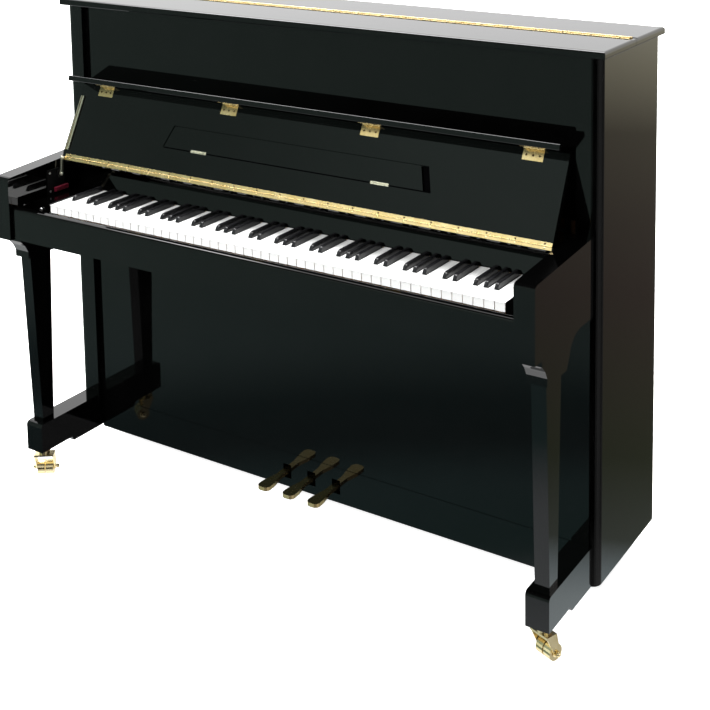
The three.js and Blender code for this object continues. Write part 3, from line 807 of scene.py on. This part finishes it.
def rising(tree, value, low, high, **settings):
    """0 at low to 1 at high."""
    node = add_node(tree, "ShaderNodeMapRange", **settings)
    node.inputs["From Min"].default_value = low
    node.inputs["From Max"].default_value = high
    tree.links.new(value, node.inputs["Value"])
    return node.outputs["Result"]


def directions(tree):
    """The vertical part of the looking direction, and its level heading."""
    place = add_node(tree, "ShaderNodeTexCoord")
    split = add_node(tree, "ShaderNodeSeparateXYZ")
    tree.links.new(place.outputs["Generated"], split.inputs["Vector"])
    level = add_node(tree, "ShaderNodeVectorMath", operation="MULTIPLY")
    level.inputs[1].default_value = (1, 1, 0)
    tree.links.new(place.outputs["Generated"], level.inputs[0])
    heading = add_node(tree, "ShaderNodeVectorMath", operation="NORMALIZE")
    tree.links.new(level.outputs["Vector"], heading.inputs[0])
    return split.outputs["Z"], heading.outputs["Vector"]


def wedge(tree, heading, azimuth, inner, outer):
    """1 within inner degrees of an azimuth, falling to 0 at outer."""
    dot = add_node(tree, "ShaderNodeVectorMath", operation="DOT_PRODUCT")
    dot.inputs[1].default_value = (cos(radians(azimuth)), sin(radians(azimuth)), 0)
    tree.links.new(heading, dot.inputs[0])
    low, high = cos(radians(outer)), cos(radians(inner))
    return rising(tree, dot.outputs["Value"], low, high, interpolation_type="SMOOTHSTEP")


def over(tree, under, above, factor):
    mix = add_node(tree, "ShaderNodeMix", data_type="RGBA")
    tree.links.new(factor, mix.inputs["Factor"])
    tree.links.new(under, mix.inputs["A"])
    tree.links.new(above, mix.inputs["B"])
    return mix.outputs["Result"]


def flat_colour(tree, level):
    node = add_node(tree, "ShaderNodeRGB")
    node.outputs[0].default_value = (*even(level), 1)
    return node.outputs[0]


def make_world():
    """Soft walls for the reflections and the light; the camera sees plain white.

    White is behind and at the left, shade at the right, neutral at the front right, warm behind at the right,
    grey at the front left, pale in front and dark towards the camera. A later wall covers the earlier ones,
    and all end below a bright overhead.
    """
    world = bpy.data.worlds.new("studio")
    world.use_nodes = True
    scene.world = world
    tree = world.node_tree
    vertical, heading = directions(tree)
    height = rising(tree, vertical, -1, 1)

    def by_height(stops):
        """A wall's colours as shares of the brightest, which the background's strength makes good."""
        stops = [*stops, (OVERHEAD, even(BRIGHTEST))]
        return ramp(tree, height, [((z + 1) / 2, [c / BRIGHTEST for c in colour]) for z, colour in stops])

    colour = by_height(WHITE_WALL)
    for wall, azimuth, inner, outer in (
        (SHADE_WALL, 12, 46, 52), (NEUTRAL_WALL, -40, 30, 75), (WARM_WALL, 75, 14, 20),
        (GREY_WALL, -145, 42, 55), (PALE_WALL, -112, 6, 24), (DARK_WALL, -69, 29, 39),
    ):
        colour = over(tree, colour, by_height(wall), wedge(tree, heading, azimuth, inner, outer))

    # A bright patch high on the left, which only rounded edges along the case reflect.
    patch = add_node(tree, "ShaderNodeMath", operation="MULTIPLY")
    tree.links.new(rising(tree, vertical, 0.68, 0.76), patch.inputs[0])
    tree.links.new(wedge(tree, heading, 170, 14, 19), patch.inputs[1])
    colour = over(tree, colour, flat_colour(tree, 1), patch.outputs["Value"])

    seen = add_node(tree, "ShaderNodeLightPath").outputs["Is Camera Ray"]
    background = tree.nodes["Background"]
    tree.links.new(over(tree, colour, flat_colour(tree, 1 / BRIGHTEST), seen), background.inputs["Color"])
    background.inputs["Strength"].default_value = BRIGHTEST


make_camera()
make_floor()
add_softbox("front", (-0.6, -3.2, 2.9), 57, (2.4, 0.9), 190)
make_world()
dress_nodes()
make_keys()
make_fallboard_hinge()
make_butt_hinges()
make_desk_hinges()
paint_desk_gap_shade()
make_lid_hinge()
make_closer_mount()
make_closer_track()
make_closer_arm()
make_key_block_screws()
make_nameboard_felt_and_shade()
make_caster_fittings()
make_inside()
light_brass()
